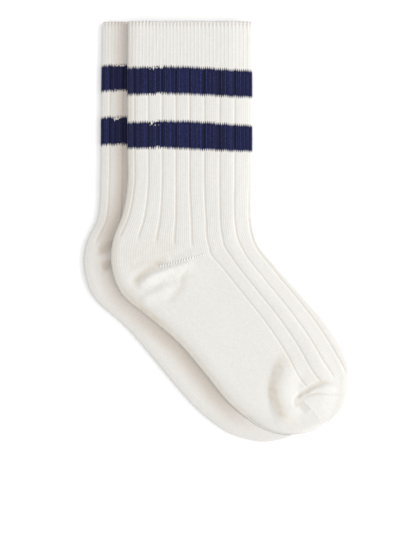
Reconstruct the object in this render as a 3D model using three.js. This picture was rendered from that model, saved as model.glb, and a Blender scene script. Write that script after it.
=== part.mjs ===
// A pair of crew socks laid flat, the front sock lying over the rear one.
// Units are millimetres, Z is up, the cuffs point to +Y and the toes to +X.
// Each sock is one knitted tube: two layers on each other with a small gap inside,
// ribs raised on its upper side, a plain inside and a plain flat underside.
import * as THREE from "three";

// Driving dimensions of the cloth
const WALL_TOP = 1.7; // upper layer, measured on the ribs
const WALL_BOTTOM = 1.3; // lower layer
const WALL_SIDE = 1.5; // at the two folds
const GAP = 0.8; // free height inside the flattened tube
const THICKNESS = WALL_TOP + GAP + WALL_BOTTOM;
const FOLD_RADIUS = THICKNESS / 2;

// The knit: one wale is one column of stitches, and the upper side shows half of them
const WALES_UP = 72; // wales from the front fold to the back fold
const WALES_INSTEP = 33; // of these, wales that run on over the instep
const FIRST_GROOVE = 3; // wale of the first groove, counted from the front fold
const GROOVE_STEP = 8; // one groove in eight wales
const GROOVE_DEPTH = 0.55;
const CUFF_RIDGE_DEPTH = 0.45; // every second wale of the cuff is lower

// Where one sock lies on the other
const CLEARANCE = 0.35;
const DROP_START = 1.5; // how far outside the rear sock the front sock starts to drop
const DROP_LENGTH = 14; // and how wide the slope down to the ground is

// Closed end of the toe
const TIP_REACH = 1.2;

// One row for each section of the sock, from the cuff to the tip of the toe.
// back, split and front are points in plan: the back fold, the place where the instep
// ribs begin, and the front fold. shift is the rear sock's place against the front one.
const SECTIONS = [
  { name: "cuff", back: [-44.5, 0], split: [3.5, 0], front: [45, 0], shift: [-19, 0] },
  { name: "cuff end", back: [-45, -33.5], split: [3.5, -33], front: [45, -35.5], shift: [-19, 2] },
  { name: "leg", back: [-45, -73], split: [3.5, -72], front: [45, -75], shift: [-19.5, 4] },
  { name: "shin", back: [-45, -117], split: [3.5, -119], front: [45, -115], shift: [-20, 1] },
  { name: "ankle", back: [-48.5, -138.5], split: [4.5, -141.5], front: [45, -127], shift: [-18.5, -3] },
  { name: "heel start", back: [-55.5, -157.5], split: [6, -166], front: [45, -136.5], shift: [-20, -3.5] },
  { name: "heel upper", back: [-57, -169], split: [6.5, -167.5], front: [45, -138.5], shift: [-20, -3.5] },
  { name: "heel back", back: [-55.5, -181], split: [7, -168.5], front: [45, -140], shift: [-20, -3.5] },
  { name: "heel turn", back: [-51, -193], split: [7, -170], front: [45.5, -142], shift: [-20, -3.5] },
  { name: "heel under", back: [-45, -200.5], split: [7.5, -171], front: [45.5, -144], shift: [-20, -3.5] },
  { name: "sole start", back: [-37, -207], split: [8.5, -172.5], front: [46, -147], shift: [-20.5, -3.5] },
  { name: "arch", back: [-25, -216.5], split: [17, -181], front: [48, -156], shift: [-22, -3] },
  { name: "mid foot", back: [-7, -232.5], split: [33, -200.5], front: [63, -176.5], shift: [-24, -5] },
  { name: "ball", back: [12, -255], split: [51.5, -224.5], front: [83, -199], shift: [-24.5, -5] },
  { name: "tread", back: [28, -274.5], split: [64.5, -245.5], front: [99, -218], shift: [-24, -4] },
  { name: "toe start", back: [41.5, -286], split: [73.5, -262.5], front: [109.5, -234.5], shift: [-24, -4] },
  { name: "toe 1", back: [52, -293], split: [82, -271], front: [114.5, -246.5], shift: [-23.5, -4] },
  { name: "toe 2", back: [63.5, -296.5], split: [89, -277.5], front: [116.5, -257], shift: [-23, -4.5] },
  { name: "toe 3", back: [74.5, -297.5], split: [95, -282], front: [115.5, -267], shift: [-22.5, -5.5] },
  { name: "toe 4", back: [84, -296], split: [99, -285], front: [112.5, -275.5], shift: [-21.5, -6] },
  { name: "toe 5", back: [91.5, -293.5], split: [100.5, -287], front: [108, -281.5], shift: [-21, -6] },
  { name: "tip", back: [97, -290], split: [100.5, -287.5], front: [103.5, -285.5], shift: [-20, -5.5] },
];

// Soft ridges (plus) and troughs (minus) of the upper layer of the front sock
const CREASES = [
  { name: "ridge below the heel turn", height: 1.2, reach: 6, path: [[-35, -191], [5, -174]] },
  { name: "trough above the heel turn", height: -0.5, reach: 6, path: [[-38, -185], [-28, -176.5], [-14, -171.5]] },
  { name: "ridge under the heel", height: 0.7, reach: 5, path: [[-33.5, -201.5], [-15.5, -194.5]] },
  {
    name: "hump at the toe",
    height: 2.4,
    reach: 7,
    path: [[70, -245.5], [66, -258.5], [65, -269.5], [67.5, -278.5], [72.5, -287.5]],
  },
];

// Points of a ring under the sock, by wale from the back fold, and in the plain inside, by share
// of the way from the front fold to the back fold: closer where the front sock slopes down
const UNDER_WALES = [70.6, 69.2, 63, 54, 45, 36, 28, 22, 18, 15, 12, 9, 6, 2.8, 1.4];
const INNER_SHARES = [0, 0.07, 0.14, 0.21, 0.28, 0.36, 0.44, 0.5, 0.6, 0.7, 0.8, 0.9, 1];
const INNER_CREASE = 0.45; // how far the inside follows a crease

// Places of the rings, in rows of SECTIONS and parts of a row
const FRONT_RINGS = [
  0, 0.9, 1, 3, 3.6, 4.2, 5, 6, 7, 8, 9, 10, 11, 12, 12.7, 13.4, 14, 14.5, 15, 15.5, 16, 16.6,
  17.2, 18, 19, 20, 21,
];
const REAR_RINGS = [
  0, 0.9, 1, 3, 3.6, 4.2, 5, 6, 7, 8, 9, 10, 11, 12, 13, 14, 15, 16, 17, 18, 19, 20, 21,
];

const add = (a, b) => [a[0] + b[0], a[1] + b[1]];
const mix = (a, b, f) => [a[0] + (b[0] - a[0]) * f, a[1] + (b[1] - a[1]) * f];
const distance = (a, b) => Math.hypot(a[0] - b[0], a[1] - b[1]);
const smooth = (f) => {
  const k = Math.min(Math.max(f, 0), 1);
  return k * k * (3 - 2 * k);
};

// A smooth curve through the points of one track, whatever their spacing
function along(points, t) {
  const last = points.length - 1;
  const i = Math.min(Math.floor(t), last - 1);
  const f = t - i;
  const span = distance(points[i], points[i + 1]);
  const slope = (k) => {
    const before = points[Math.max(k - 1, 0)];
    const here = points[k];
    const after = points[Math.min(k + 1, last)];
    const d0 = distance(before, here);
    const d1 = distance(here, after);
    return [0, 1].map((c) => {
      const v0 = d0 > 0 ? (here[c] - before[c]) / d0 : (after[c] - here[c]) / d1;
      const v1 = d1 > 0 ? (after[c] - here[c]) / d1 : v0;
      return (v0 * d1 + v1 * d0) / (d0 + d1);
    });
  };
  const m0 = slope(i);
  const m1 = slope(i + 1);
  const [f2, f3] = [f * f, f * f * f];
  return [0, 1].map(
    (c) =>
      (2 * f3 - 3 * f2 + 1) * points[i][c] +
      (f3 - 2 * f2 + f) * m0[c] * span +
      (3 * f2 - 2 * f3) * points[i + 1][c] +
      (f3 - f2) * m1[c] * span,
  );
}

function tracks(rear) {
  const place = (row, point) => (rear ? add(row[point], row.shift) : row[point]);
  return {
    back: SECTIONS.map((row) => place(row, "back")),
    split: SECTIONS.map((row) => place(row, "split")),
    front: SECTIONS.map((row) => place(row, "front")),
  };
}

// Distance in plan from a point to a path
function toPath(point, path) {
  let best = Infinity;
  for (let i = 0; i + 1 < path.length; i++) {
    const [a, b] = [path[i], path[i + 1]];
    const run = [b[0] - a[0], b[1] - a[1]];
    const f = ((point[0] - a[0]) * run[0] + (point[1] - a[1]) * run[1]) / (run[0] ** 2 + run[1] ** 2);
    best = Math.min(best, distance(point, mix(a, b, Math.min(Math.max(f, 0), 1))));
  }
  return best;
}

function inside(point, outline) {
  let within = false;
  outline.forEach((a, i) => {
    const b = outline[(i + 1) % outline.length];
    const crosses = a[1] > point[1] !== b[1] > point[1];
    if (crosses && point[0] < a[0] + ((b[0] - a[0]) * (point[1] - a[1])) / (b[1] - a[1])) within = !within;
  });
  return within;
}

function outlineOf(rear) {
  const { back, front } = tracks(rear);
  const steps = Array.from({ length: 3 * (SECTIONS.length - 1) + 1 }, (_, i) => i / 3);
  return [...steps.map((t) => along(back, t)), ...steps.reverse().map((t) => along(front, t))];
}
const REAR_OUTLINE = outlineOf(true);
const REAR_EDGE = [...REAR_OUTLINE, REAR_OUTLINE[0]];

// Height of the bed that the front sock lies on: the rear sock, and the ground beside it
function bed(point) {
  const out = inside(point, REAR_OUTLINE) ? 0 : toPath(point, REAR_EDGE);
  return (THICKNESS + CLEARANCE) * (1 - smooth((out - DROP_START) / DROP_LENGTH));
}

function crease(point) {
  let height = 0;
  for (const { height: top, reach, path } of CREASES) {
    const d = toPath(point, path) / reach;
    if (d < 1) height += top * (1 - d * d) ** 2;
  }
  return height;
}

// How deep the knit lies below the top of the ribs at a wale and a row
function groove(wale, t) {
  if (t < 0.95) return wale % 2 === 0 ? 0 : CUFF_RIDGE_DEPTH;
  if ((wale - FIRST_GROOVE) % GROOVE_STEP !== 0 || wale < 0 || wale > WALES_UP) return 0;
  const end = wale < WALES_INSTEP ? 16 - wale / 40 : 5;
  return GROOVE_DEPTH * (1 - smooth(t - end + 1));
}

// A point in plan, reach millimetres along the section from one of its folds
function fromFold(fold, split, reach) {
  return mix(fold, split, reach / distance(fold, split));
}

// The points round one ring: over the top from the front fold to the back fold, and home below
function outerRing(track, t, front) {
  const [back, split, fore] = [along(track.back, t), along(track.split, t), along(track.front, t)];
  const radius = Math.min(FOLD_RADIUS, distance(back, fore) / 3);
  const points = [];
  const place = (wale, side) => {
    const ahead = wale <= WALES_INSTEP;
    const fold = ahead ? fore : back;
    const span = distance(fold, split);
    const quarter = (Math.PI * radius) / 2;
    const pitch = (span - radius + quarter) / (ahead ? WALES_INSTEP : WALES_UP - WALES_INSTEP);
    const arc = (ahead ? wale : WALES_UP - wale) * pitch;
    const angle = Math.min(arc / radius, Math.PI / 2);
    const deep = side > 0 ? groove(wale, t) : 0;
    const round = radius * (1 - Math.cos(angle)) + deep * Math.cos(angle);
    const plan = fromFold(fold, split, arc > quarter ? radius + arc - quarter : round);
    let z = FOLD_RADIUS + side * (FOLD_RADIUS - deep) * Math.sin(angle);
    if (front) z += bed(plan) + (side > 0 ? crease(plan) * Math.sin(angle) : 0);
    points.push([plan[0], plan[1], z]);
  };
  for (let wale = 0; wale <= WALES_UP; wale++) place(wale, 1);
  for (const wale of UNDER_WALES) place(wale, -1);
  return points;
}

function innerRing(track, t, front) {
  const [back, split, fore] = [along(track.back, t), along(track.split, t), along(track.front, t)];
  const middle = WALL_BOTTOM + GAP / 2;
  const points = [];
  const place = (share, side) => {
    const ahead = share <= 0.5;
    const fold = ahead ? fore : back;
    const reach = (ahead ? share : 1 - share) * 2;
    const from = WALL_SIDE + reach * (distance(fold, split) - WALL_SIDE);
    const plan = fromFold(fold, split, from);
    let z = middle + (side * GAP) / 2;
    if (front) z += bed(plan) + (side > 0 ? INNER_CREASE * crease(plan) : 0);
    points.push([plan[0], plan[1], z]);
  };
  for (const share of INNER_SHARES) place(share, 1);
  for (const share of [...INNER_SHARES].reverse()) place(share, -1);
  return points;
}

// A strip of triangles between two rings, which may have different numbers of points
function strip(faces, a, b) {
  let [i, j] = [0, 0];
  while (i < a.length || j < b.length) {
    const [i1, j1] = [a[(i + 1) % a.length], b[(j + 1) % b.length]];
    if (j >= b.length || (i < a.length && (i + 1) * b.length <= (j + 1) * a.length)) {
      faces.push([a[i % a.length], i1, b[j % b.length]]);
      i++;
    } else {
      faces.push([a[i % a.length], j1, b[j % b.length]]);
      j++;
    }
  }
}

function sock(name, rings, front) {
  const track = tracks(!front);
  const points = [];
  const faces = [];
  const store = (ring) => ring.map((point) => points.push(point) - 1);
  const outer = rings.map((t) => store(outerRing(track, t, front)));
  const inner = rings.filter((t) => t <= 19).map((t) => store(innerRing(track, t, front)));

  for (let i = 0; i + 1 < outer.length; i++) strip(faces, outer[i], outer[i + 1]);
  for (let i = 0; i + 1 < inner.length; i++) strip(faces, inner[i + 1], inner[i]);
  strip(faces, inner[0], outer[0]);

  // close the toe outside with a rounded end, and the inside with a flat fan
  const last = rings[rings.length - 1];
  const [back, fore] = [along(track.back, last), along(track.front, last)];
  const middle = mix(back, fore, 0.5);
  const across = distance(back, fore);
  const ahead = [-(fore[1] - back[1]) / across, (fore[0] - back[0]) / across].map((v) => -v);
  const rest = front ? bed(middle) : 0;
  const shrunk = outer[outer.length - 1].map((k) => {
    const [x, y, z] = points[k];
    const plan = add(mix(middle, [x, y], 0.7), [ahead[0] * TIP_REACH * 0.75, ahead[1] * TIP_REACH * 0.75]);
    return [plan[0], plan[1], rest + FOLD_RADIUS + (z - rest - FOLD_RADIUS) * 0.62];
  });
  const end = store(shrunk);
  strip(faces, outer[outer.length - 1], end);
  const tip = points.push([middle[0] + ahead[0] * TIP_REACH, middle[1] + ahead[1] * TIP_REACH, rest + FOLD_RADIUS]) - 1;
  end.forEach((k, i) => faces.push([k, end[(i + 1) % end.length], tip]));
  const dead = inner[inner.length - 1];
  const centre = [0, 1, 2].map((c) => dead.reduce((sum, k) => sum + points[k][c], 0) / dead.length);
  const heart = points.push(centre) - 1;
  dead.forEach((k, i) => faces.push([dead[(i + 1) % dead.length], k, heart]));

  const geometry = new THREE.BufferGeometry();
  geometry.setAttribute("position", new THREE.Float32BufferAttribute(points.flat(), 3));
  geometry.setIndex(faces.flat());
  geometry.computeVertexNormals();
  const material = new THREE.MeshStandardMaterial({ color: 0xe9e5dc, roughness: 0.95 });
  const mesh = new THREE.Mesh(geometry, material);
  mesh.name = name;
  return mesh;
}

// The pair stands with the middle of its footprint on the origin
const pair = new THREE.Group();
pair.name = "pair_of_socks";
pair.add(sock("front_sock", FRONT_RINGS, true), sock("rear_sock", REAR_RINGS, false));
const box = new THREE.Box3().setFromObject(pair);
const centre = box.getCenter(new THREE.Vector3());
for (const mesh of pair.children) mesh.geometry.translate(-centre.x, -centre.y, -box.min.z);

export default pair;
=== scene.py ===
"""A pair of ribbed crew socks laid flat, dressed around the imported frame.

Sizes in this file are in millimetres on the same plan as the CAD source and
become metres when a mesh is made. One wale is one column of stitches.
"""
import math

import bpy
import numpy as np
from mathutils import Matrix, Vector


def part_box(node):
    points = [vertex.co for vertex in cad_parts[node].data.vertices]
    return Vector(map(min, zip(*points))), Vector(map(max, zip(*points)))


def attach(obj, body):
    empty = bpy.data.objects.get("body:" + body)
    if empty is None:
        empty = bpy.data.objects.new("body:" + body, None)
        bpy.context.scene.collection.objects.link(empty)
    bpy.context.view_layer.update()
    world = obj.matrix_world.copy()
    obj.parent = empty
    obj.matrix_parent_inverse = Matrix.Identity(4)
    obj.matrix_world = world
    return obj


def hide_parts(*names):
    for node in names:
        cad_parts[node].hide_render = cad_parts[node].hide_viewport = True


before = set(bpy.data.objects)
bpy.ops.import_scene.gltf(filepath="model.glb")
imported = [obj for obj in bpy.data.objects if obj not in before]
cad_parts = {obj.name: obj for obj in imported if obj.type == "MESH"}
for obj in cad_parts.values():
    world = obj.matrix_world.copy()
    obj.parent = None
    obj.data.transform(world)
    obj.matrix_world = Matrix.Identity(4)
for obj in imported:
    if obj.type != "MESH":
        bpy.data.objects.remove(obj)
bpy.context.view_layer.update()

MM = 0.001

# The cloth, as in the CAD source
WALL = 1.5
GAP = 0.8
THICKNESS = 3.8
FOLD_RADIUS = THICKNESS / 2
CLEARANCE = 0.35
DROP_START = 1.5
DROP_LENGTH = 14.0
TIP_REACH = 1.2
OVERHANG = 0.72  # share of its height that the upper layer keeps beside the rear sock
HOLLOW_FLOOR = 1.3  # height of the lining's lower side
TROUGH_LIMIT = -0.3  # how far a trough of the cloth reaches into the lining
FAR = 1e9

# The knit and its wide ribs, with widths in wales
WALES_UP = 72
WALES_INSTEP = 33
WALES_RIBBED = 31
FIRST_GROOVE = 3
GROOVE_STEP = 8
GROOVE_DEPTH = 0.25
GROOVE_WIDTH = 0.55
RIB_SLOPE = 0.13
LONG_SLOPE, SHORT_SLOPE = 3.2, 1.7
UNDER_RIBS = 0.6  # depth of the ribs below, as a share of the depth above
COURSE = 1.0

# The cuff: fine ribs, a line of eyelets, and a rounded rim with scallops
CUFF_LENGTH = 33.0
CUFF_LEAD, CUFF_FADE = 2.5, 3.0
CUFF_DEPTH = 0.10
UNDER_CUFF = 0.3
EYELET_PLACE, EYELET_REACH, EYELET_DEPTH = 2.3, 0.6, 0.35
RIM = 0.75
SCALLOP = 0.22

# Unevenness of the cloth, its creases and the rear toe's rise beside the front sock
BROAD_WAVES, FINE_WAVES = 0.16, 0.05
WANDER = 0.45
FADE_IN, FADE_OUT = 0.22, 0.3  # shares of a crease's length
PRESSED, PRESSED_LIMIT = 0.3, 1.5  # share and limit of the folds in the lower layer
PUFF_START, PUFF_RISE = 0.3, 0.43

# How deep the colour is made by painted shade, and how pale by painted highlight: the front sock's shadow
# painted beside it, shade painted along its back fold, shade in the folds and highlight on their ridges
SHADE_REACH, SHADE_FADE = 3.5, 7.0
SHADE_AT_EDGE, SHADE_BEYOND = 0.55, 0.45
BACK_SHADE_START, BACK_SHADE_FADE = 1.5, 4.5
PAINTED_SHADE_MOTTLING = 0.35
FRONT_FOLD_SHARE = 0.4
RIDGE_PAINTED_HIGHLIGHT, TROUGH_PAINTED_SHADE = 0.45, 0.28
GORE_SHADE = (0.3, 1.2, 1.2, 1.5)
GORE_SHADE_BELOW = (0.5, 1.0, 1.0, 1.5)

# The stripes bow by this much between a wale and the back fold
STRIPE_BOW = 0.8
BOW_START, BOW_WIDTH = 30, 42
NO_STRIPE = 400.0  # a place on the leg that no stripe reaches

# Loops of thread, as shares of their size or their thread
SMALL_LOOP = 0.62
LOOP_BEND = 0.22
LOOP_LIFT, LOOP_DIP, LOOP_TAPER = 0.12, 0.5, 0.35

# Fineness of the meshes: columns to a wale above, then columns below and in half of the lining
TOP_STEPS = 4
UNDER_COLUMNS = 96
INNER_COLUMNS = 24
TIP_DEGREES = (25, 50, 70)

# name, back x y, split x y, front x y, rear sock's shift x y, turn of the tube at the front fold
SECTIONS = [
    ("cuff", -44.5, 0, 2.3, 0, 45, 0, -19, 0, -0.8),
    ("stripe 1", -45, -33.5, 2.3, -33, 45, -35.5, -19, 2, -0.8),
    ("stripe 1 end", -45, -53.5, 2.3, -53, 45, -55, -19.3, 3, -0.8),
    ("stripe 2", -45, -73, 2.3, -72, 45, -75, -19.5, 4, -0.8),
    ("stripe 2 end", -45, -92, 2.3, -92.5, 45, -94, -19.6, 2.8, -0.8),
    ("shin", -45, -117, 2.3, -119, 45, -115, -20, 1, -0.8),
    ("ankle", -48.5, -138.5, 3.6, -141.5, 45, -127, -18.5, -3, 0),
    ("heel start", -55.5, -157.5, 6, -166, 45, -136.5, -20, -3.5, 0),
    ("heel upper", -57, -169, 6.5, -167.5, 45, -138.5, -20, -3.5, 0),
    ("heel back", -55.5, -181, 7, -168.5, 45, -140, -20, -3.5, 0),
    ("heel turn", -51, -193, 7, -170, 45.5, -142, -20, -3.5, 0),
    ("heel under", -45, -200.5, 7.5, -171, 45.5, -144, -20, -3.5, 0),
    ("sole start", -37, -207, 8.5, -172.5, 46, -147, -20.5, -3.5, 0.2),
    ("arch", -25, -216.5, 17, -181, 48, -156, -22, -3, 0.5),
    ("mid foot", -7, -232.5, 33, -200.5, 63, -176.5, -24, -5, 1),
    ("ball", 12, -255, 51.5, -224.5, 83, -199, -24.5, -5, 1.8),
    ("tread", 28, -274.5, 64.5, -245.5, 99, -218, -24, -4, 2.7),
    ("toe start", 41.5, -286, 73.5, -262.5, 109.5, -234.5, -24, -4, 2.7),
    ("toe 1", 52, -293, 82, -271, 114.5, -246.5, -23.5, -4, 2),
    ("toe 2", 63.5, -296.5, 89, -277.5, 116.5, -257, -23, -4.5, 1),
    ("toe 3", 74.5, -297.5, 95, -282, 115.5, -267, -22.5, -5.5, 0.5),
    ("toe 4", 84, -296, 99, -285, 112.5, -275.5, -21.5, -6, 0),
    ("toe 5", 91.5, -293.5, 100.5, -287, 108, -281.5, -21, -6, 0),
    ("tip", 97, -290, 100.5, -287.5, 103.5, -285.5, -20, -5.5, 0),
]
NAMES = [row[0] for row in SECTIONS]
# How far the upper layer slopes down at the back fold of the front and the rear sock, and at the
# front fold of both: section, depth, width
BACK_SLOPES = [("cuff", 0.6, 6), ("ankle", 0.7, 6), ("heel start", 0.5, 5), ("heel back", 0.7, 6),
               ("heel turn", 1.2, 8), ("sole start", 1.6, 10), ("ball", 1.4, 10), ("tread", 1.3, 10),
               ("toe start", 1.8, 10), ("toe 1", 2.2, 11), ("toe 2", 2.4, 12), ("tip", 2.4, 12)]
REAR_SLOPES = [("cuff", 0.4, 4), ("toe start", 0.5, 5), ("tip", 0.5, 5)]
FRONT_SLOPES = [("cuff", 0.7, 6), ("toe start", 0.8, 7), ("toe 3", 0.9, 8), ("tip", 0.9, 8)]
# Height by which the rear toe stands up beside the front sock
REAR_PUFF = [("ball", 0), ("tread", 0.3), ("toe start", 0.8), ("toe 1", 1.4), ("toe 3", 1.6),
             ("tip", 1.6)]
# How dark the shadow is that is painted on the rear sock beside the front one
REAR_SHADE = [("cuff", 0.75), ("ankle", 1), ("heel start", 1), ("heel back", 0.7), ("sole start", 0.7),
              ("arch", 0.8), ("mid foot", 1), ("tread", 1), ("toe start", 0.7), ("toe 2", 0.1),
              ("tip", 0)]
# How much shade is painted into the front sock's colour along its back fold, as far as 6 mm in
BACK_SHADE = [("cuff", 0.15), ("stripe 1", 0.3), ("heel start", 0.35), ("heel turn", 0.35),
              ("sole start", 0.45), ("tread", 0.45), ("toe 1", 0.2), ("toe 3", 0)]
# How many wales the tube is turned at the back fold
BACK_TURNS = [("cuff", 0), ("shin", 0), ("ankle", -0.6), ("heel start", -1.7), ("sole start", -1.7),
              ("ball", 0), ("tip", 0)]

TABLE = np.array([row[1:] for row in SECTIONS], float)
BACK, SPLIT, FRONT, SHIFT, TURN = (
    TABLE[:, 0:2], TABLE[:, 2:4], TABLE[:, 4:6], TABLE[:, 6:8], TABLE[:, 8]
)

# Creases of the upper layer: height, reach to the left and to the right of the path, power of
# the profile (2 is soft all over, 1 meets the flat cloth at an angle), then its points in plan
FRONT_CREASES = [
    # heel: trough, its faint upper arm, the ridge, the small crease and the soft ridge below it
    (-0.6, 6.5, 3.0, 1.6, [(-41, -193), (-38, -186.5), (-31.5, -181), (-24.5, -177), (-15, -173.5)]),
    (-0.2, 3.0, 3.0, 2, [(-42, -172.5), (-30, -172.8), (-18, -174.5)]),
    (1.25, 3.2, 8.0, 1.4, [(-38.5, -193), (-30.9, -186.0), (-21.5, -181.2), (-12.5, -178.2),
                           (-4.5, -175.9), (5, -172.6)]),
    (-0.4, 2.4, 2.2, 2, [(-35.5, -195.4), (-28.4, -192.2), (-24.1, -190.4), (-17, -186)]),
    (0.75, 3.6, 7.0, 1.8, [(-37, -202), (-27, -197.3), (-20.5, -194.4), (-11, -189)]),
    (-0.3, 4.6, 5.0, 2, [(2.5, -178.5), (-5.4, -184.3), (-6.8, -190.8), (-10.7, -196.1),
                         (-20, -206)]),
    (-0.3, 4.0, 4.0, 2, [(-16, -171), (-8, -168), (2, -164.5)]),
    # toe: ridge, pit, fold above the seam, roll below it, seam, hollow
    (1.3, 10.5, 11.0, 1.3, [(73.5, -291.5), (69.7, -283.7), (67.6, -277.2), (66.7, -271.4),
                            (66.6, -265.7), (67.6, -259.9), (69.4, -254.2), (71.9, -248.4),
                            (75.5, -240.5)]),
    (-0.5, 1.4, 2.0, 2, [(75.6, -278.5), (74.9, -274.4), (75.8, -271.2), (79.6, -269.4)]),
    (-0.8, 3.4, 2.2, 1.6, [(74.6, -273.0), (79.0, -268.4), (84.7, -265.5), (88.9, -262.8),
                           (93.2, -261.1), (99, -260.6), (106, -261.5)]),
    (0.3, 2.2, 2.0, 2, [(83, -268.3), (91.1, -264.8), (97.6, -264.3), (106, -265.5)]),
    (-0.4, 1.1, 1.1, 2, [(77, -272.5), (82.4, -270.4), (88.4, -268.1), (93.7, -267.7),
                         (99, -267.9), (104.8, -268.2), (114, -268.9)]),
    (-0.25, 4.5, 4.5, 1.6, [(76, -273), (80.5, -277.5), (85, -282)]),
]
REAR_CREASES = [
    (-1.2, 5.0, 5.0, 2, [(-52.0, -160.5), (-60.5, -163.0), (-69, -166)]),
    (0.6, 4.0, 4.0, 2, [(-50, -168), (-60, -169.3), (-70.0, -172.0)]),
    (-1.1, 4.5, 4.5, 2, [(-50, -174), (-58.5, -175.5), (-66, -178)]),
]
# Where shade is painted into the cloth's colour, in the same columns, with a strength instead of a
# height; a negative strength is painted highlight
FRONT_SHADES = [
    # heel: painted shade in the trough, its edge, its upper arm, the cloth above, the small crease,
    # the back edge and the crease across, then painted highlight on the two ridges, which are paler
    (0.42, 4.2, 1.6, 1.6, [(-41.5, -191.5), (-38.6, -187), (-34.2, -182.4), (-26.5, -177.7),
                           (-18.5, -174), (-13, -172.5)]),
    (0.30, 1.8, 2.2, 2, [(-40.5, -189.5), (-38.8, -186.7), (-36, -183.8), (-30, -180)]),
    (0.20, 3.6, 4.0, 1.5, [(-45, -176), (-36, -175.5), (-26, -173), (-14, -169.5)]),
    (0.12, 15.0, 9.0, 1.5, [(-53, -174), (-38, -168), (-20, -165), (2, -163)]),
    (0.22, 1.1, 1.1, 2, [(-36, -195.2), (-28.4, -191.5), (-24.1, -190), (-19, -187)]),
    (0.25, 6.0, 4.0, 1.2, [(-48, -189), (-39.5, -202), (-31, -210.3), (-21.6, -217), (-10, -226)]),
    (0.20, 3.0, 3.0, 2, [(4, -177), (-4.8, -183), (-6.2, -190.8), (-10, -196.1), (-19, -206)]),
    (-0.9, 2.2, 4.2, 1.5, [(-37, -191.5), (-30.2, -186.5), (-21.5, -182.5), (-12.5, -178.4),
                           (-2, -174.5)]),
    (-0.5, 3.0, 4.0, 1.5, [(-35, -201), (-28, -196.5), (-21, -193.2), (-12, -188)]),
    # toe: painted shade on the flank of the ridge, its core, pit, fold, seam and hollow, then painted
    # highlight on the paler end
    (0.52, 12.5, 6.5, 2.0, [(70, -236), (62.0, -252.0), (59.4, -265.0), (60.6, -271.3),
                            (63.3, -277.1), (66.8, -283.5), (78, -294.5)]),
    (0.30, 6.0, 4.5, 1.8, [(60.5, -257), (58.6, -265.0), (59.8, -271.3), (62.5, -277.1),
                           (66.0, -283.5), (71, -289)]),
    (0.5, 1.3, 1.0, 2, [(74.6, -278), (74.4, -274.5), (75.2, -271.4), (78, -269.8), (82, -267.8)]),
    (0.42, 3.4, 2.4, 1.8, [(75.6, -272.0), (80.0, -268.8), (84.7, -265.5), (88.9, -262.8),
                           (93.2, -260.8), (99, -260.4), (107, -261.5)]),
    (0.5, 1.1, 1.1, 2, [(79.5, -272.3), (83.7, -269.8), (88.4, -268.2), (93.7, -267.8),
                        (99, -268.1), (108, -269)]),
    (0.30, 3.0, 2.6, 1.2, [(75.5, -273.5), (80.0, -277.0), (86, -281)]),
    (-0.55, 11.0, 11.0, 1.3, [(84, -286), (96, -278), (104, -270), (110, -255), (112, -240)]),
]
# Where the heel and the toe are knitted on: the loops' pitch, length and thread, the share of
# the line after which they grow small, and the line in plan
GORES = [
    (2.0, 2.2, 0.85, 0.8, [(-22.5, -176.3), (-13.5, -174.3), (-5.8, -172.1), (2, -169.8),
                           (9.6, -167.9)]),
    (1.45, 2.1, 0.75, 0.42, [(81.4, -273.0), (83.9, -275.8), (86.8, -278.6), (91.1, -284),
                             (95.2, -290)]),
]


def smooth(f):
    """A soft step from 0 to 1."""
    k = np.clip(f, 0, 1)
    return k * k * (3 - 2 * k)


def along(points, t):
    """A smooth curve through points, whatever their spacing, at the row numbers t."""
    points = np.asarray(points, float).reshape(len(points), -1)
    t = np.asarray(t, float)
    run = np.linalg.norm(np.diff(points, axis=0), axis=1)
    unit = np.diff(points, axis=0) / run[:, None]
    slope = np.empty_like(points)
    slope[0], slope[-1] = unit[0], unit[-1]
    slope[1:-1] = (unit[:-1] * run[1:, None] + unit[1:] * run[:-1, None]) / (
        run[:-1] + run[1:]
    )[:, None]
    i = np.clip(t.astype(int), 0, len(points) - 2)
    f = (t - i)[:, None]
    span = run[i][:, None]
    return (
        (2 * f**3 - 3 * f**2 + 1) * points[i]
        + (f**3 - 2 * f**2 + f) * slope[i] * span
        + (3 * f**2 - 2 * f**3) * points[i + 1]
        + (f**3 - f**2) * slope[i + 1] * span
    )


def tracks(t, rear):
    """The back fold, the split and the front fold at the row numbers t."""
    shift = SHIFT if rear else np.zeros_like(SHIFT)
    return along(BACK + shift, t), along(SPLIT + shift, t), along(FRONT + shift, t)


def to_path(points, path):
    """Distance in plan from each point to a path."""
    best = np.full(points.shape[:-1], FAR)
    for a, b in zip(path[:-1], path[1:]):
        a, run = np.array(a, float), np.array(b, float) - np.array(a, float)
        f = np.clip(((points - a) @ run) / (run @ run), 0, 1)
        best = np.minimum(best, np.linalg.norm(points - a - f[..., None] * run, axis=-1))
    return best


def outline(rear):
    """A sock's outline in plan, as a closed ring of points."""
    t = np.linspace(0, len(SECTIONS) - 1, 6 * (len(SECTIONS) - 1) + 1)
    back, _, front = tracks(t, rear)
    return np.vstack([back, front[::-1], back[:1]])


def inside(points, ring):
    """Which points lie inside a closed ring."""
    within = np.zeros(points.shape[:-1], bool)
    x, y = points[..., 0], points[..., 1]
    for a, b in zip(ring[:-1], ring[1:]):
        crosses = (a[1] > y) != (b[1] > y)
        if a[1] != b[1]:
            within ^= crosses & (x < a[0] + (b[0] - a[0]) * (y - a[1]) / (b[1] - a[1]))
    return within


REAR_EDGE = outline(True)
FRONT_EDGE = outline(False)


def bed(points, stay=0.0):
    """Height of what the front sock lies on: the rear sock, and the ground beside it.

    Beside the rear sock, the share called stay of that height is kept.
    """
    out = np.where(inside(points, REAR_EDGE), 0, to_path(points, REAR_EDGE))
    sunk = smooth((out - DROP_START) / DROP_LENGTH)
    return (THICKNESS + CLEARANCE) * (1 - (1 - stay) * sunk)


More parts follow.
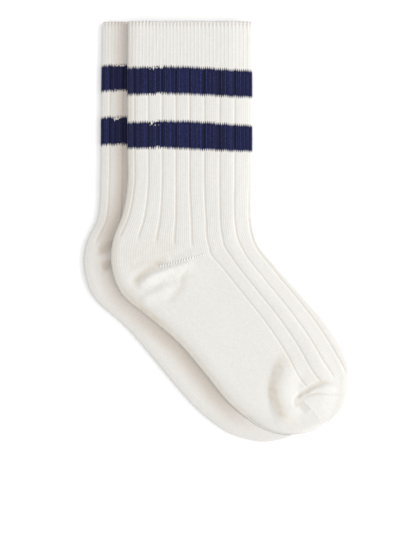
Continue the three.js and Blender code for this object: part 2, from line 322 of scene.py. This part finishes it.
def creases(points, table):
    """Soft troughs and ridges, each fading out at its ends, with slightly uneven borders."""
    height = np.zeros(points.shape[:-1])
    flat = points.reshape(-1, 2)
    flat = flat + WANDER * np.stack([waves(flat, 31, 3.5, 9), waves(flat, 32, 3.5, 9)], axis=1)
    out = height.reshape(-1)
    for top, left, right, power, path in table:
        line = along(path, np.linspace(0, len(path) - 1, 5 * (len(path) - 1) + 1))
        run = np.concatenate([[0], np.cumsum(np.linalg.norm(np.diff(line, axis=0), axis=1))])
        reach = max(left, right)
        near = np.flatnonzero(
            np.all((flat > line.min(axis=0) - reach) & (flat < line.max(axis=0) + reach), axis=1)
        )
        here = flat[near]
        best = np.full(len(near), FAR)
        where = np.zeros(len(near))
        hand = np.zeros(len(near))
        for k, (a, b) in enumerate(zip(line[:-1], line[1:])):
            step = b - a
            f = np.clip(((here - a) @ step) / (step @ step), 0, 1)
            off = here - a - f[:, None] * step
            d = np.linalg.norm(off, axis=1)
            closer = d < best
            best[closer] = d[closer]
            where[closer] = (run[k] + f * (run[k + 1] - run[k]))[closer]
            hand[closer] = (step[0] * off[:, 1] - step[1] * off[:, 0])[closer]
        q = np.clip(best / np.where(hand > 0, left, right), 0, 1)
        share = where / run[-1]
        fade = smooth(share / FADE_IN) * smooth((1 - share) / FADE_OUT)
        out[near] += top * fade * (1 - q * q) ** power
    return height


def waves(points, seed, short, long):
    """A sum of fourteen waves of random direction and length, about -1 to 1."""
    draw = np.random.default_rng(seed)
    height = np.zeros(points.shape[:-1])
    for _ in range(14):
        angle, wave = draw.uniform(0, math.tau), draw.uniform(short, long)
        run = np.array([math.cos(angle), math.sin(angle)]) * math.tau / wave
        height += draw.uniform(0.2, 1.0) * wave / long * np.sin(points @ run + draw.uniform(0, math.tau))
    return height / 4.5


# Camera, floor and light
FRONT_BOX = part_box("front_sock")
front_track = tracks(np.linspace(0, len(SECTIONS) - 1, 400), False)[2]
# Where the origin of the plan lies in the frame
ORIGIN = np.array([
    FRONT_BOX[1][0] / MM - front_track[:, 0].max(),
    FRONT_BOX[1][1] / MM,
])

scene = bpy.context.scene
scene.view_settings.view_transform = "Standard"
scene.view_settings.look = "None"

POINT = 0.72  # millimetres to one point of the photograph
PHOTO_HIGH = 540
FRAME_HIGH = PHOTO_HIGH * POINT
LENS, SENSOR = 120.0, 36.0
# What lies in the middle of the picture
MIDDLE = ORIGIN + np.array([9.0, -178.9])
MIDDLE_HEIGHT = 5.0

eye = bpy.data.cameras.new("camera")
eye.lens, eye.sensor_width, eye.sensor_fit = LENS, SENSOR, "AUTO"
camera = bpy.data.objects.new("camera", eye)
camera.location = (
    MIDDLE[0] * MM,
    MIDDLE[1] * MM,
    (MIDDLE_HEIGHT + FRAME_HIGH * LENS / SENSOR) * MM,
)
scene.collection.objects.link(camera)
scene.camera = camera


def principled(name, colour, roughness):
    material = bpy.data.materials.new(name)
    material.use_nodes = True
    shader = material.node_tree.nodes["Principled BSDF"]
    shader.inputs["Base Color"].default_value = (*colour, 1)
    shader.inputs["Roughness"].default_value = roughness
    return material, shader


FLOOR_REACH, FLOOR_HEIGHT = 3.0, -0.0002
corners = [(x * FLOOR_REACH, y * FLOOR_REACH, FLOOR_HEIGHT)
           for x, y in ((-1, -1), (1, -1), (1, 1), (-1, 1))]
floor_mesh = bpy.data.meshes.new("floor")
floor_mesh.from_pydata(corners, [], [(0, 1, 2, 3)])
floor = bpy.data.objects.new("floor", floor_mesh)
scene.collection.objects.link(floor)
floor_material, _ = principled("floor_paint", (0.95, 0.95, 0.95), 0.9)
floor_mesh.materials.append(floor_material)

world = bpy.data.worlds.new("studio")
world.use_nodes = True
background = world.node_tree.nodes["Background"]
background.inputs["Color"].default_value = (1, 1, 1, 1)
background.inputs["Strength"].default_value = 0.98
scene.world = world

LIT = np.array([0.01, -0.03, 0])  # the point that the lights are turned to, in metres


def area_light(name, azimuth, elevation, reach, size, power):
    """A soft light; azimuth is counted from +X towards +Y."""
    data = bpy.data.lights.new(name, "AREA")
    data.shape, data.size, data.energy = "SQUARE", size, power
    light = bpy.data.objects.new(name, data)
    a, e = math.radians(azimuth), math.radians(elevation)
    away = np.array([math.cos(a) * math.cos(e), math.sin(a) * math.cos(e), math.sin(e)])
    light.location = away * reach + LIT
    light.rotation_mode = "QUATERNION"
    light.rotation_quaternion = Vector(away).to_track_quat("Z", "Y")
    scene.collection.objects.link(light)


area_light("key", 20, 26, 1.5, 1.1, 12.5)
area_light("low key", -38, 18, 1.5, 1.1, 13.5)


# The knit's shape
def row_numbers():
    """Rows of the mesh: closer where the heel and the toe have their creases."""
    counts = {"cuff": 14, "stripe 1": 8, "stripe 1 end": 8, "stripe 2": 8, "stripe 2 end": 10,
              "shin": 10, "ankle": 12, "heel start": 9, "heel upper": 9, "heel back": 9,
              "heel turn": 7, "heel under": 7, "sole start": 8, "arch": 13, "mid foot": 14,
              "ball": 15, "tread": 13, "toe start": 12, "toe 1": 11, "toe 2": 9, "toe 3": 7,
              "toe 4": 5, "toe 5": 5}
    rows = []
    for i, name in enumerate(NAMES[:-1]):
        rows += [i + k / counts[name] for k in range(counts[name])]
    return np.array(rows + [len(NAMES) - 1.0])


def row_of(name):
    return NAMES.index(name)


def table_at(table, column, t):
    """One column of a table whose rows begin with a section's name, at the row numbers t."""
    return np.interp(t, [row_of(row[0]) for row in table], [row[column] for row in table])


ROWS = row_numbers()


def down_the_leg(t):
    """Distance from the cuff's edge, in millimetres along the split."""
    fine = np.linspace(0, len(SECTIONS) - 1, 3000)
    run = np.linalg.norm(np.diff(along(SPLIT, fine), axis=0), axis=1)
    return np.interp(t, fine, np.concatenate([[0], np.cumsum(run)]))


def sock_mesh(rear):
    """The outer face of one sock, as rings of points from the cuff to the toe."""
    t = ROWS
    back, split, front = tracks(t, rear)
    span_f = np.linalg.norm(split - front, axis=1)
    span_b = np.linalg.norm(split - back, axis=1)
    radius = np.minimum(FOLD_RADIUS, np.linalg.norm(back - front, axis=1) / 3)
    quarter = math.pi * radius / 2
    pitch_f = (span_f - radius + quarter) / WALES_INSTEP
    pitch_b = (span_b - radius + quarter) / (WALES_UP - WALES_INSTEP)
    s = down_the_leg(t)

    # columns: over the top from the front fold to the back fold, then home below
    top = np.linspace(0, WALES_UP, WALES_UP * TOP_STEPS + 1)
    under = np.linspace(-WALES_UP, 0, UNDER_COLUMNS + 1)[1:-1]
    column = np.concatenate([top, under])
    side = np.where(column >= 0, 1.0, -1.0)[None, :]
    wale = np.abs(column)[None, :]
    ahead = wale <= WALES_INSTEP

    arc = np.where(ahead, wale * pitch_f[:, None], (WALES_UP - wale) * pitch_b[:, None])
    angle = np.minimum(arc / radius[:, None], math.pi / 2)
    level = np.maximum(arc - quarter[:, None], 0)
    fold = np.where(ahead[..., None], front[:, None], back[:, None])
    span = np.where(ahead, span_f[:, None], span_b[:, None])
    toward = (split[:, None] - fold) / span[..., None]

    # the true wale: near the folds the tube is turned a little
    turn = np.interp(t, range(len(SECTIONS)), TURN)[:, None]
    true = column[None, :] - turn * np.clip(1 - wale / WALES_INSTEP, 0, 1)
    turn = table_at(BACK_TURNS, 1, t)[:, None] + (1.5 if rear else 0)
    true = true + turn * np.clip(1 - (WALES_UP - wale) / (WALES_UP - WALES_INSTEP), 0, 1)

    # ribs: a narrow groove, with a long slope on one side of it and a short one on the other
    across = (true - FIRST_GROOVE + GROOVE_STEP / 2) % GROOVE_STEP - GROOVE_STEP / 2
    sharp = np.exp(-((across / GROOVE_WIDTH) ** 2))
    broad = 1 - smooth(np.where(across < 0, -across / LONG_SLOPE, across / SHORT_SLOPE))
    # they end on a slant at the toe, and straight above the heel
    instep = np.abs(true) < WALES_RIBBED
    ends = np.where(instep, row_of("toe 1") + 0.55 - np.abs(true) / WALES_INSTEP,
                    row_of("heel start") - 0.05)
    fade = 1 - smooth((t[:, None] - ends) / np.where(instep, 0.35, 0.22) + 1)
    on_leg = smooth((s[:, None] - CUFF_LENGTH + CUFF_LEAD) / CUFF_FADE)
    ribs = (sharp * GROOVE_DEPTH + broad * RIB_SLOPE) * fade * on_leg
    # and they are shallow at the front fold of the leg
    at_fold = 1 - smooth((wale - 1) / 5)
    ribs *= 1 - 0.8 * at_fold * (1 - smooth((t[:, None] - row_of("ankle")) / 4))
    wave = 0.5 - 0.5 * np.cos(math.pi * true)
    cuff = wave * CUFF_DEPTH * (1 - on_leg) * np.where(side > 0, 1, UNDER_CUFF)
    holes = np.exp(-(((s[:, None] - EYELET_PLACE) / EYELET_REACH) ** 2)) * wave**2 * EYELET_DEPTH
    deep = ribs + cuff + holes
    deep = np.where(side > 0, deep, deep * UNDER_RIBS)

    # the rounded rim
    rim = np.clip(1 - s / RIM, 0, 1)[:, None]
    inward = (1 - np.sqrt(np.clip(1 - rim**2, 0, 1))) * RIM

    sink = deep + inward
    reach = np.where(
        arc > quarter[:, None],
        radius[:, None] + level,
        radius[:, None] * (1 - np.cos(angle)) + sink * np.cos(angle),
    )
    plan = fold + toward * reach[..., None]
    drop, wide = (
        np.where(ahead, table_at(FRONT_SLOPES, k, t)[:, None],
                 table_at(REAR_SLOPES if rear else BACK_SLOPES, k, t)[:, None])
        for k in (1, 2)
    )
    half = FOLD_RADIUS - drop / 2 * np.clip(1 - level / wide, 0, 1) ** 2
    height = half + side * (half - sink) * np.sin(angle)
    up = (side > 0) * np.sin(angle)
    # the lower layer has the same folds, much flatter and pressed in
    home = plan - along(SHIFT, t)[:, None] if rear else plan
    pressed = PRESSED * np.clip(creases(home, FRONT_CREASES), 0, PRESSED_LIMIT)
    height += (side < 0) * np.sin(angle) * pressed
    height += up * BROAD_WAVES * waves(plan, 5 if rear else 3, 14, 46)
    height += up * FINE_WAVES * waves(plan, 7 if rear else 8, 3, 8)
    if rear:
        gap = np.where(inside(plan, FRONT_EDGE), 0, to_path(plan, FRONT_EDGE))
        folds = creases(plan, REAR_CREASES)
        height = np.where(up > 0, np.minimum(height + up * folds, THICKNESS), height)
        beside = np.where(inside(plan, FRONT_EDGE), -to_path(plan, FRONT_EDGE), gap)
        near = np.exp(-((np.maximum(PUFF_START - beside, 0) / PUFF_RISE) ** 2))
        height += up * near * table_at(REAR_PUFF, 1, t)[:, None]
        rest = np.zeros_like(height)
        # the front sock's shadow, painted on the rear sock beside it
        painted_shade_and_highlight = np.exp(-((np.maximum(gap - SHADE_REACH, 0) / SHADE_FADE) ** 2))
        painted_shade_and_highlight *= SHADE_AT_EDGE + SHADE_BEYOND * smooth(gap / SHADE_REACH)
        painted_shade_and_highlight *= table_at(REAR_SHADE, 1, t)[:, None]
    else:
        folds = creases(plan, FRONT_CREASES)
        height += up * folds
        # beside the rear sock the lower layer sinks to the ground, the upper one much less
        low, high = bed(plan), bed(plan, OVERHANG)
        rest = (low + high + side * np.sin(angle) * (high - low)) / 2
        # painted shade in the folds and painted highlight on the ridges, stroke by stroke from the table
        painted_shade_and_highlight = creases(plan, FRONT_SHADES)
        # painted shade along the back fold, on the side away from the lights
        from_fold = np.where(ahead, FAR, level + radius[:, None] * (1 - np.cos(angle)))
        at_back = 1 - smooth((from_fold - BACK_SHADE_START) / BACK_SHADE_FADE)
        painted_shade_and_highlight += table_at(BACK_SHADE, 1, t)[:, None] * at_back
        # painted shade along the lines of loops
        for *_, path in GORES:
            painted_shade_and_highlight += creases(plan, [(*GORE_SHADE, path)])
        # the painted shade is made uneven by soft random waves
        painted_shade_and_highlight *= 1 + PAINTED_SHADE_MOTTLING * waves(plan, 12, 2, 6)
        # this share of the folds' height becomes painted shade in troughs and painted highlight on ridges
        folds = folds * FRONT_FOLD_SHARE
    # below, painted shade marks the lines of loops as plain darker lines
    lines = [(*GORE_SHADE_BELOW, path) for *_, path in GORES]
    # painted shade in the troughs of both socks, and painted highlight on their ridges
    painted_shade_and_highlight = painted_shade_and_highlight - folds * np.where(folds > 0, RIDGE_PAINTED_HIGHLIGHT, TROUGH_PAINTED_SHADE)
    painted_shade_and_highlight = np.where(side > 0, painted_shade_and_highlight, creases(home, lines))
    painted_shade_and_highlight = np.clip(painted_shade_and_highlight, -1, 1)
    height += rest

    # the rim of the cuff is slightly scalloped by its ribs
    plan[..., 1] += SCALLOP * np.cos(math.pi * true) * np.clip(1 - s / 4, 0, 1)[:, None]

    rows, columns = height.shape
    points = np.concatenate([plan, height[..., None]], axis=2).reshape(-1, 3)
    grid = np.arange(rows * columns).reshape(rows, columns)
    faces = []
    ring_next = np.roll(np.arange(columns), -1)
    for i in range(rows - 1):
        a, b = grid[i], grid[i + 1]
        faces.append(np.stack([a, a[ring_next], b[ring_next], b], axis=1))
    quads = np.concatenate(faces)

    # courses: along the split on the leg and foot, along each column in the heel
    heel0, heel1 = row_of("heel start"), row_of("sole start")
    course = np.repeat((s / COURSE)[:, None], columns, axis=1)
    in_heel = (t >= heel0) & (t <= heel1)
    first = int(np.argmax(in_heel))
    walk = np.linalg.norm(np.diff(plan[in_heel], axis=0), axis=2) / COURSE
    walk = np.vstack([np.zeros((1, columns)), np.cumsum(walk, axis=0)])
    heel_course = course.copy()
    heel_course[in_heel] = np.where(wale > WALES_INSTEP, s[first] / COURSE + walk, course[in_heel])

    return {
        "points": points, "quads": quads, "grid": grid, "true": true, "s": s, "t": t,
        "course": course, "heel_course": heel_course, "in_heel": in_heel, "deep": deep,
        "side": side, "painted_shade_and_highlight": painted_shade_and_highlight,
    }


def strip(a, b):
    """Triangles between two rings, which may have different numbers of points."""
    faces, i, j = [], 0, 0
    while i < len(a) or j < len(b):
        if j >= len(b) or (i < len(a) and (i + 1) * len(b) <= (j + 1) * len(a)):
            faces.append((a[i % len(a)], a[(i + 1) % len(a)], b[j % len(b)]))
            i += 1
        else:
            faces.append((a[i % len(a)], b[(j + 1) % len(b)], b[j % len(b)]))
            j += 1
    return faces


def lining(rear):
    """The inner side of the tube, coarse because only its mouth shows."""
    t = np.concatenate([
        [0.012, 0.04, 0.2],
        np.arange(0.5, 16.25, 0.5),
        [16.3, 16.6, 17, 17.3, 17.6, 18, 18.4, 18.8, 19.2, 19.6, 20, 20.5, 21],
    ])
    back, split, front = tracks(t, rear)
    share = np.linspace(0, 1, INNER_COLUMNS + 1)
    share = np.concatenate([share, share[::-1]])[None, :]
    side = np.concatenate([np.ones(INNER_COLUMNS + 1), -np.ones(INNER_COLUMNS + 1)])[None, :]
    ahead = share <= 0.5
    fold = np.where(ahead[..., None], front[:, None], back[:, None])
    span = np.linalg.norm(split[:, None] - fold, axis=2)
    toward = (split[:, None] - fold) / span[..., None]
    part = np.where(ahead, share, 1 - share) * 2
    plan = fold + toward * (WALL + part * (span - WALL))[..., None]
    height = HOLLOW_FLOOR + GAP / 2 + side * GAP / 2 * np.ones_like(plan[..., 0])
    if not rear:
        folds = np.maximum(creases(plan, FRONT_CREASES), TROUGH_LIMIT)
        height = height + bed(plan) + np.where(side > 0, folds, 0)
    return np.concatenate([plan, height[..., None]], axis=2)


def gore_loops(made, material):
    """Small loops of thread over the lines where the heel and the toe begin."""
    top = np.repeat(made["side"] > 0, len(made["t"]), axis=0).ravel()
    cloth = made["points"][top]
    draw = np.random.default_rng(41)
    points, faces = [], []
    sides, steps = 6, 7
    for pitch, long, thread, small, path in GORES:
        line = along(path, np.linspace(0, len(path) - 1, 200))
        run = np.concatenate([[0], np.cumsum(np.linalg.norm(np.diff(line, axis=0), axis=1))])
        for at in np.arange(pitch / 2, run[-1], pitch):
            size = 1.0 if at < small * run[-1] else SMALL_LOOP
            here = np.array([np.interp(at, run, line[:, k]) for k in (0, 1)])
            ahead = np.array([np.interp(at + 0.5, run, line[:, k]) for k in (0, 1)]) - here
            ahead /= max(np.linalg.norm(ahead), 1e-6)
            if at + 0.5 > run[-1]:
                ahead = (line[-1] - line[-10]) / np.linalg.norm(line[-1] - line[-10])
            across = np.array([-ahead[1], ahead[0]])
            lean = draw.uniform(0.35, 0.6)
            q = np.linspace(-1, 1, steps)
            reach = long / 2 * size * draw.uniform(0.85, 1.1)
            plan = here + np.outer(q * reach, across + lean * ahead)
            plan = plan + np.outer((1 - q**2) * LOOP_BEND * size, ahead)
            near = np.argsort(np.linalg.norm(cloth[:, None, :2] - plan[None], axis=2), axis=0)[:4]
            height = cloth[near, 2].mean(axis=0) + thread * size * (LOOP_LIFT - LOOP_DIP * q**4)
            centre = np.column_stack([plan, height])
            tangent = np.gradient(centre, axis=0)
            tangent /= np.linalg.norm(tangent, axis=1)[:, None]
            level = np.cross(tangent, [0, 0, 1.0])
            level /= np.linalg.norm(level, axis=1)[:, None]
            upright = np.cross(level, tangent)
            thick = thread / 2 * size * (1 - LOOP_TAPER * q**4)
            turn = np.linspace(0, math.tau, sides, endpoint=False)
            ring = (np.cos(turn)[None, :, None] * level[:, None]
                    + np.sin(turn)[None, :, None] * upright[:, None]) * thick[:, None, None]
            first = sum(len(p) for p in points)
            points.append((centre[:, None] + ring).reshape(-1, 3))
            for i in range(steps - 1):
                for j in range(sides):
                    a, b = first + i * sides + j, first + i * sides + (j + 1) % sides
                    faces.append((a, a + sides, b + sides, b))
            faces.append(tuple(first + j for j in range(sides)))
            faces.append(tuple(first + (steps - 1) * sides + j for j in reversed(range(sides))))
    points = np.concatenate(points)
    points[:, :2] += ORIGIN
    mesh = bpy.data.meshes.new("front_loops")
    mesh.from_pydata([tuple(p) for p in points * MM], [], faces)
    mesh.polygons.foreach_set("use_smooth", [True] * len(mesh.polygons))
    mesh.materials.append(material)
    mesh.update()
    loops = bpy.data.objects.new("front_loops", mesh)
    scene.collection.objects.link(loops)
    return loops


def build_sock(name, rear, material):
    """One sock: its outer face, lining, rim and closed toe, with what its material reads."""
    made = sock_mesh(rear)
    points = [made["points"]]
    grid = made["grid"]
    count = len(made["points"])
    quads = [tuple(int(k) for k in q) for q in made["quads"]]
    inner = lining(rear)
    inner_grid = np.arange(inner.shape[0] * inner.shape[1]).reshape(inner.shape[:2]) + count
    points.append(inner.reshape(-1, 3))
    count += inner_grid.size
    inner_faces = []
    ring_next = np.roll(np.arange(inner.shape[1]), -1)
    for i in range(inner.shape[0] - 1):
        a, b = inner_grid[i], inner_grid[i + 1]
        inner_faces += [tuple(int(k) for k in f) for f in np.stack([b, b[ring_next], a[ring_next], a], 1)]
    rim = strip([int(k) for k in inner_grid[0]], [int(k) for k in grid[0]])

    # rounded end of the toe
    last = made["points"].reshape(*grid.shape, 3)[-1]
    back, _, front = (v[-1] for v in tracks(np.array([len(SECTIONS) - 1.0]), rear))
    middle, span = (back + front) / 2, front - back
    ahead = np.array([span[1], -span[0]]) / np.linalg.norm(span)
    rest = float(bed(middle[None])[0]) if not rear else 0.0
    caps = []
    before = grid[-1]
    for degrees in TIP_DEGREES:
        a = math.radians(degrees)
        ring = last.copy()
        ring[:, :2] = middle + (last[:, :2] - middle) * math.cos(a) + ahead * TIP_REACH * math.sin(a)
        ring[:, 2] = rest + FOLD_RADIUS + (last[:, 2] - rest - FOLD_RADIUS) * math.cos(a)
        numbers = np.arange(len(ring)) + count
        count += len(ring)
        points.append(ring)
        nxt = np.roll(np.arange(len(ring)), -1)
        caps += [tuple(int(k) for k in f) for f in np.stack(
            [before, before[nxt], numbers[nxt], numbers], 1)]
        before = numbers
    tip = np.array([[*(middle + ahead * TIP_REACH), rest + FOLD_RADIUS]])
    points.append(tip)
    caps += [(int(a), int(b), count) for a, b in zip(before, np.roll(before, -1))]
    count += 1
    heart = inner[-1].mean(axis=0)[None]
    points.append(heart)
    dead = inner_grid[-1]
    caps_in = [(int(b), int(a), count) for a, b in zip(dead, np.roll(dead, -1))]
    count += 1

    points = np.concatenate(points)
    points[:, :2] += ORIGIN
    faces = quads + inner_faces + rim + caps + caps_in
    mesh = bpy.data.meshes.new(name)
    mesh.from_pydata([tuple(p) for p in points * MM], [], faces)
    mesh.validate()

    def to_points(values, elsewhere=0.0):
        """One number to a point: those of the outer face, and the same one on all the rest."""
        numbers = np.full(count, elsewhere)
        numbers[: grid.size] = values.ravel()
        return numbers

    bow = np.clip((made["true"] - BOW_START) / BOW_WIDTH, 0, 1)
    arch = STRIPE_BOW * 4 * bow * (1 - bow) * (made["side"] > 0)
    attributes = {
        "leg": to_points(made["s"][:, None] + arch, NO_STRIPE),
        "deep": to_points(made["deep"]),
        "painted_shade_and_highlight": to_points(made["painted_shade_and_highlight"]),
    }
    for key, values in attributes.items():
        layer = mesh.attributes.new(key, "FLOAT", "POINT")
        layer.data.foreach_set("value", values.astype(np.float32))

    # stitch coordinates: wales across, courses along
    true = to_points(made["true"])
    course = to_points(made["course"])
    heel = to_points(made["heel_course"])
    rows = np.repeat(np.arange(grid.shape[0] - 1), grid.shape[1])
    heel_face = np.zeros(len(faces), bool)
    heel_face[: len(rows)] = made["in_heel"][rows] & made["in_heel"][rows + 1]

    layer = mesh.uv_layers.new(name="knit")
    loops = np.zeros(len(mesh.loops), np.int32)
    mesh.loops.foreach_get("vertex_index", loops)
    starts = np.zeros(len(mesh.polygons), np.int32)
    totals = np.zeros(len(mesh.polygons), np.int32)
    mesh.polygons.foreach_get("loop_start", starts)
    mesh.polygons.foreach_get("loop_total", totals)
    face_of = np.repeat(np.arange(len(totals)), totals)
    u = true[loops]
    # the last column before the fold joins numbers from both ends of the round
    lows = np.minimum.reduceat(u, starts)[face_of]
    highs = np.maximum.reduceat(u, starts)[face_of]
    u = np.where((highs - lows > WALES_UP) & (u < 0), u + 2 * WALES_UP, u)
    v = np.where(heel_face[face_of], heel[loops], course[loops])
    layer.data.foreach_set("uv", np.stack([u, v], axis=1).ravel())

    mesh.polygons.foreach_set("use_smooth", [True] * len(mesh.polygons))
    mesh.materials.append(material)
    mesh.update()
    sock = bpy.data.objects.new(name, mesh)
    scene.collection.objects.link(sock)
    return sock, made


# The knit's material
class Graph:
    """Short calls for building a material's nodes."""

    def __init__(self, material):
        self.tree = material.node_tree
        self.nodes, self.links = self.tree.nodes, self.tree.links

    def feed(self, socket, value):
        if isinstance(value, bpy.types.NodeSocket):
            self.links.new(value, socket)
        elif value is not None:
            socket.default_value = value

    def math(self, operation, a, b=None, c=None):
        node = self.nodes.new("ShaderNodeMath")
        node.operation = operation
        for socket, value in zip(node.inputs, (a, b, c)):
            self.feed(socket, value)
        return node.outputs[0]

    def mix(self, factor, a, b):
        node = self.nodes.new("ShaderNodeMix")
        node.data_type = "RGBA"
        self.feed(node.inputs[0], factor)
        self.feed(node.inputs[6], a)
        self.feed(node.inputs[7], b)
        return node.outputs[2]

    def ramp(self, value, low, high, to_low=0.0, to_high=1.0):
        node = self.nodes.new("ShaderNodeMapRange")
        node.clamp = True
        self.feed(node.inputs[0], value)
        for socket, number in zip(list(node.inputs)[1:5], (low, high, to_low, to_high)):
            self.feed(socket, number)
        return node.outputs[0]

    def attribute(self, name):
        node = self.nodes.new("ShaderNodeAttribute")
        node.attribute_name = name
        return node.outputs["Fac"]

    def random(self, x, y=0.0):
        join = self.nodes.new("ShaderNodeCombineXYZ")
        self.feed(join.inputs[0], x)
        self.feed(join.inputs[1], y)
        node = self.nodes.new("ShaderNodeTexWhiteNoise")
        node.noise_dimensions = "2D"
        self.links.new(join.outputs[0], node.inputs["Vector"])
        return node.outputs["Value"]

    def noise(self, scale, detail=2.0):
        place = self.nodes.new("ShaderNodeTexCoord")
        node = self.nodes.new("ShaderNodeTexNoise")
        node.inputs["Scale"].default_value = scale
        node.inputs["Detail"].default_value = detail
        self.links.new(place.outputs["Object"], node.inputs["Vector"])
        return node.outputs["Fac"]


# Each stripe's start and end on the leg, and how far in the flecks at its start reach
STRIPES = [(33.2, 53.0, 1.2), (72.2, 92.4, 2.2)]
# Cream on the stitches; between them darker as painted shade mixed with random mottle; in the grooves
# darker as painted shade; and on the loops of thread
CREAM = (0.662, 0.649, 0.621, 1)
CREAM_GAP_SHADE_AND_MOTTLE = (0.55, 0.53, 0.50, 1)
CREAM_GROOVE_SHADE = (0.53, 0.475, 0.39, 1)
THREAD = (0.76, 0.755, 0.74, 1)
# Navy on the stitches, and darker navy as painted shade between them and in the grooves, also in random
# streaks
NAVY = (0.034, 0.043, 0.158, 1)
NAVY_SHADE_AND_STREAK = (0.005, 0.005, 0.016, 1)
# What the colour is multiplied by: painted highlight on the crests of folds, and painted shade in the
# hollows of each sock
PAINTED_CREST_HIGHLIGHT = (1.09, 1.09, 1.09, 1)
SHADES = {"front_cotton": (0.82, 0.752, 0.65, 1), "rear_cotton": (0.80, 0.735, 0.685, 1)}


def cotton(g, shader, relief, strength, distance):
    """Relief in the surface, hardly any gloss, and a little sheen."""
    bump = g.nodes.new("ShaderNodeBump")
    bump.inputs["Strength"].default_value = strength
    bump.inputs["Distance"].default_value = distance
    g.links.new(relief, bump.inputs["Height"])
    g.links.new(bump.outputs[0], shader.inputs["Normal"])
    shader.inputs["Specular IOR Level"].default_value = 0.08
    shader.inputs["Sheen Weight"].default_value = 0.35
    shader.inputs["Sheen Roughness"].default_value = 0.4


def knit(name, flecks):
    """Cream cotton with navy stripes, whose edges have flecks between two wales."""
    material, shader = principled(name, CREAM[:3], 0.92)
    g = Graph(material)
    coordinates = g.nodes.new("ShaderNodeUVMap")
    coordinates.uv_map = "knit"
    split = g.nodes.new("ShaderNodeSeparateXYZ")
    g.links.new(coordinates.outputs[0], split.inputs[0])
    u, v = split.outputs[0], split.outputs[1]
    leg, deep, painted_shade_and_highlight = g.attribute("leg"), g.attribute("deep"), g.attribute("painted_shade_and_highlight")

    # one wale is a column of V stitches
    centred = g.math("ADD", u, 0.5)
    number = g.math("FLOOR", centred)
    offset = g.math("ABSOLUTE", g.math("SUBTRACT", g.math("FRACT", centred), 0.5))
    crown = g.math("SUBTRACT", 1.0, g.math("MULTIPLY", offset, 2.0))
    crown = g.math("POWER", crown, 0.6)
    lean = g.math("ADD", v, g.math("MULTIPLY", offset, 0.9))
    turn = g.math("MULTIPLY_ADD", g.math("COSINE", g.math("MULTIPLY", lean, math.tau)), 0.5, 0.5)
    stitch = g.math("MULTIPLY", crown, g.math("MULTIPLY_ADD", turn, 0.45, 0.55))

    # stripes: their edges have one tooth to a wale, each a little higher or lower
    wander = g.math("MULTIPLY_ADD", g.random(number, 3.0), 0.9, -0.45)
    tooth = g.math("MULTIPLY_ADD", offset, 4.8, -1.2)
    place = g.math("ADD", g.math("ADD", leg, wander), tooth)
    cell = g.math("FLOOR", lean)
    fleck = g.math("GREATER_THAN", g.random(number, g.math("ADD", cell, 11.0)), 0.72)
    for edge, kind in zip(flecks, ("GREATER_THAN", "LESS_THAN")):
        fleck = g.math("MULTIPLY", fleck, g.math(kind, u, edge))
    stripe = None
    for low, high, reach in STRIPES:
        band = g.math("MULTIPLY", g.ramp(place, low - 0.2, low + 0.2),
                      g.ramp(place, high - 0.2, high + 0.2, 1, 0))
        near = g.math("MAXIMUM", g.ramp(place, low + reach, low + reach + 0.2, 1, 0),
                      g.ramp(place, high - 0.9, high - 0.7))
        band = g.math("MULTIPLY", band, g.math("SUBTRACT", 1.0, g.math("MULTIPLY", fleck, near)))
        stripe = band if stripe is None else g.math("MAXIMUM", stripe, band)

    # cream, with painted warm shade in the grooves and eyelets and between the stitches, and random
    # mottle
    groove_shade = g.ramp(deep, 0.14, 0.5, 0.0, 0.7)
    # between the stitches the cream is darker as painted shade
    between = g.ramp(stitch, 0.0, 0.75, 0.22, 0.0)
    cloudy = g.ramp(g.noise(60, 3), 0.3, 0.7, 0.0, 0.08)
    speck = g.ramp(g.noise(700, 3), 0.35, 0.65, 0.0, 0.24)
    shade = g.math("ADD", g.math("ADD", between, cloudy), speck)
    cream = g.mix(groove_shade, g.mix(shade, CREAM, CREAM_GAP_SHADE_AND_MOTTLE), CREAM_GROOVE_SHADE)
    streak = g.math("MULTIPLY_ADD", g.random(number, 19.0), 0.75, 0.25)
    streak = g.math("MULTIPLY", streak, g.ramp(g.noise(1300, 2), 0.38, 0.6, 0.35, 1.0))
    bright = g.math("MULTIPLY", g.ramp(stitch, 0.1, 0.8), streak)
    # navy, darker as painted shade between the stitches and in the grooves, and in random streaks
    navy = g.mix(g.math("MULTIPLY", bright, g.ramp(deep, 0.12, 0.4, 1, 0)), NAVY_SHADE_AND_STREAK, NAVY)
    cloth = g.mix(stripe, cream, navy)
    # the painted shade and painted highlight multiply the cloth's colour
    tint = g.nodes.new("ShaderNodeMix")
    tint.data_type, tint.blend_type = "RGBA", "MULTIPLY"
    g.feed(tint.inputs[0], 1.0)
    g.feed(tint.inputs[6], cloth)
    crest_highlight = g.mix(g.ramp(painted_shade_and_highlight, -1, 0, 1, 0), (1, 1, 1, 1), PAINTED_CREST_HIGHLIGHT)
    g.feed(tint.inputs[7], g.mix(g.ramp(painted_shade_and_highlight, 0, 1), crest_highlight, SHADES[name]))
    g.links.new(tint.outputs[2], shader.inputs["Base Color"])

    # the stitches' relief, with a little fuzz
    relief = g.math("ADD", stitch, g.math("MULTIPLY", g.noise(2600, 2), 0.45))
    cotton(g, shader, relief, 0.45, 0.00022)
    return material


def yarn(name):
    """Twisted cotton thread."""
    material, shader = principled(name, CREAM[:3], 0.9)
    g = Graph(material)
    cream = g.mix(g.ramp(g.noise(1800, 2), 0.35, 0.65), THREAD, CREAM)
    g.links.new(cream, shader.inputs["Base Color"])
    cotton(g, shader, g.noise(2600, 1), 0.2, 0.0001)
    return material


front, front_made = build_sock("front_knit", False, knit("front_cotton", (50.5, 58.5)))
rear, _ = build_sock("rear_knit", True, knit("rear_cotton", (58.5, 64.5)))
loops = gore_loops(front_made, yarn("front_thread"))
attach(loops, "root")
for piece, node in ((front, "front_sock"), (rear, "rear_sock")):
    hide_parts(node)
    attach(piece, "root")
